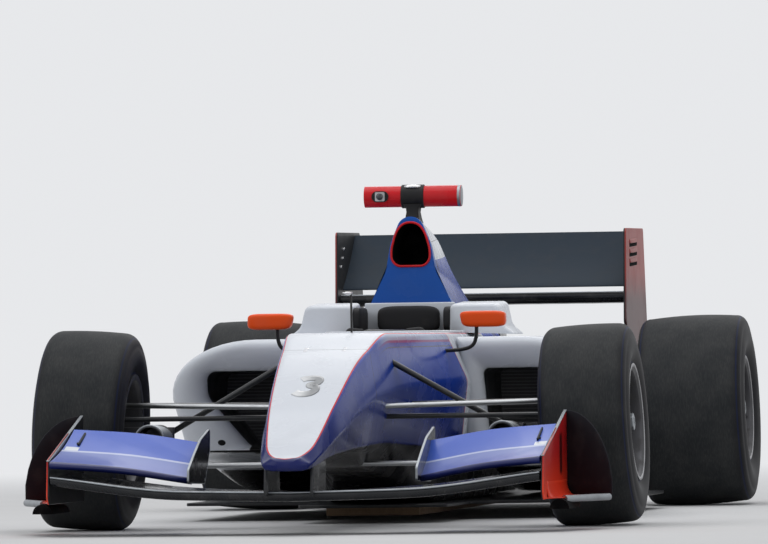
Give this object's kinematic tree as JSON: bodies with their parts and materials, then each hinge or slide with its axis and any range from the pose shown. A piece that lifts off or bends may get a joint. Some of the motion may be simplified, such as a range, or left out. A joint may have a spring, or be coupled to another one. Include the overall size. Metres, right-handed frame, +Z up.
{
  "type": "open wheel racing car",
  "caption": "Single-seat open wheel racing car with slick tyres, front and rear wings, hollow sidepods, an open cockpit and wheels that turn and steer.",
  "frame": {"origin": "on the ground under the middle of the car's length and width", "axes": "+Z up, -Y toward the nose, +X toward the car's left side"},
  "size_m": [1.931, 4.969, 1.096],
  "materials": {
    "body_paint": "gloss dark blue paint with a white nose stripe",
    "white_paint": "gloss white paint",
    "flap_paint": "gloss royal blue paint",
    "endplate_paint": "red paint over black laminate",
    "rear_endplate_paint": "dull red paint",
    "pod_paint": "gloss red paint",
    "mirror_shell": "bright orange shell",
    "seat_shell": "black moulded seat",
    "head_pad": "black padded trim",
    "grip": "black grip",
    "carbon": "black woven laminate under lacquer",
    "radiator": "dark finned core",
    "engine_metal": "cast light alloy",
    "exhaust_metal": "heat-tinted steel",
    "upright_metal": "machined light alloy",
    "rim_metal": "dark magnesium alloy with a bright lip",
    "tyre": "slick rubber, dusty crown"
  },
  "bodies": {
    "chassis": {"tub": "body_paint", "nose_cone": "body_paint", "cockpit_surround": "white_paint", "seat": "seat_shell", "steering_column": "carbon", "engine_cover": "body_paint", "camera_pod": "pod_paint", "sidepod_left": "white_paint", "sidepod_right": "white_paint", "radiators": "radiator", "floor": "carbon", "diffuser": "carbon", "engine": "engine_metal", "gearbox": "engine_metal", "crash_structure": "carbon", "exhausts": "exhaust_metal", "front_wing_main": "carbon", "front_flap_left": "flap_paint", "front_endplate_left": "endplate_paint", "front_flap_right": "flap_paint", "front_endplate_right": "endplate_paint", "front_fences": "carbon", "rear_wing_planes": "carbon", "rear_endplate_left": "rear_endplate_paint", "rear_endplate_right": "rear_endplate_paint", "rear_wing_pylons": "carbon", "mirror_left": "mirror_shell", "mirror_right": "mirror_shell", "front_suspension": "carbon", "rear_upright_left": "upright_metal", "rear_upright_right": "upright_metal", "rear_suspension": "carbon", "headrest": "head_pad", "speed_probe": "upright_metal"},
    "steering_wheel": {"steering_wheel": "grip"},
    "track_rods": {"track_rods": "carbon"},
    "front_upright_left": {"front_upright_left": "upright_metal"},
    "front_wheel_left": {"front_tyre_left": "tyre", "front_rim_left": "rim_metal"},
    "rear_wheel_left": {"rear_tyre_left": "tyre", "rear_rim_left": "rim_metal"},
    "front_upright_right": {"front_upright_right": "upright_metal"},
    "front_wheel_right": {"front_tyre_right": "tyre", "front_rim_right": "rim_metal"},
    "rear_wheel_right": {"rear_tyre_right": "tyre", "rear_rim_right": "rim_metal"}
  },
  "joints": [
    {"name": "steering_wheel_turn", "type": "hinge", "parent": "chassis", "child": "steering_wheel", "pos_m": [0, -0.4455, 0.545], "axis": [0, 0.9903, 0.1392], "range_deg": [-160, 160]},
    {"name": "track_rods_slide", "type": "slide", "parent": "chassis", "child": "track_rods", "axis": [1, 0, 0], "range_m": [-0.028, 0.028]},
    {"name": "front_left_steer", "type": "hinge", "parent": "chassis", "child": "front_upright_left", "pos_m": [0.715, -1.3755, 0.292], "axis": [0, 0, 1], "range_deg": [-16, 16]},
    {"name": "front_wheel_left_spin", "type": "hinge", "parent": "front_upright_left", "child": "front_wheel_left", "pos_m": [0.7895, -1.3755, 0.31163], "axis": [0.9986, 0, 0.0523], "continuous": true},
    {"name": "rear_wheel_left_spin", "type": "hinge", "parent": "chassis", "child": "rear_wheel_left", "pos_m": [0.768, 1.7495, 0.32971], "axis": [0.9994, 0, 0.0349], "continuous": true},
    {"name": "front_right_steer", "type": "hinge", "parent": "chassis", "child": "front_upright_right", "pos_m": [-0.715, -1.3755, 0.292], "axis": [0, 0, 1], "range_deg": [-16, 16]},
    {"name": "front_wheel_right_spin", "type": "hinge", "parent": "front_upright_right", "child": "front_wheel_right", "pos_m": [-0.7895, -1.3755, 0.31163], "axis": [-0.9986, 0, 0.0523], "continuous": true},
    {"name": "rear_wheel_right_spin", "type": "hinge", "parent": "chassis", "child": "rear_wheel_right", "pos_m": [-0.768, 1.7495, 0.32971], "axis": [-0.9994, 0, 0.0349], "continuous": true}
  ],
  "couplings": [
    {"joint": "track_rods_slide", "follows": "steering_wheel_turn", "m_per_rad": 0.01},
    {"joint": "front_left_steer", "follows": "steering_wheel_turn", "ratio": 0.1},
    {"joint": "front_right_steer", "follows": "steering_wheel_turn", "ratio": 0.1}
  ]
}
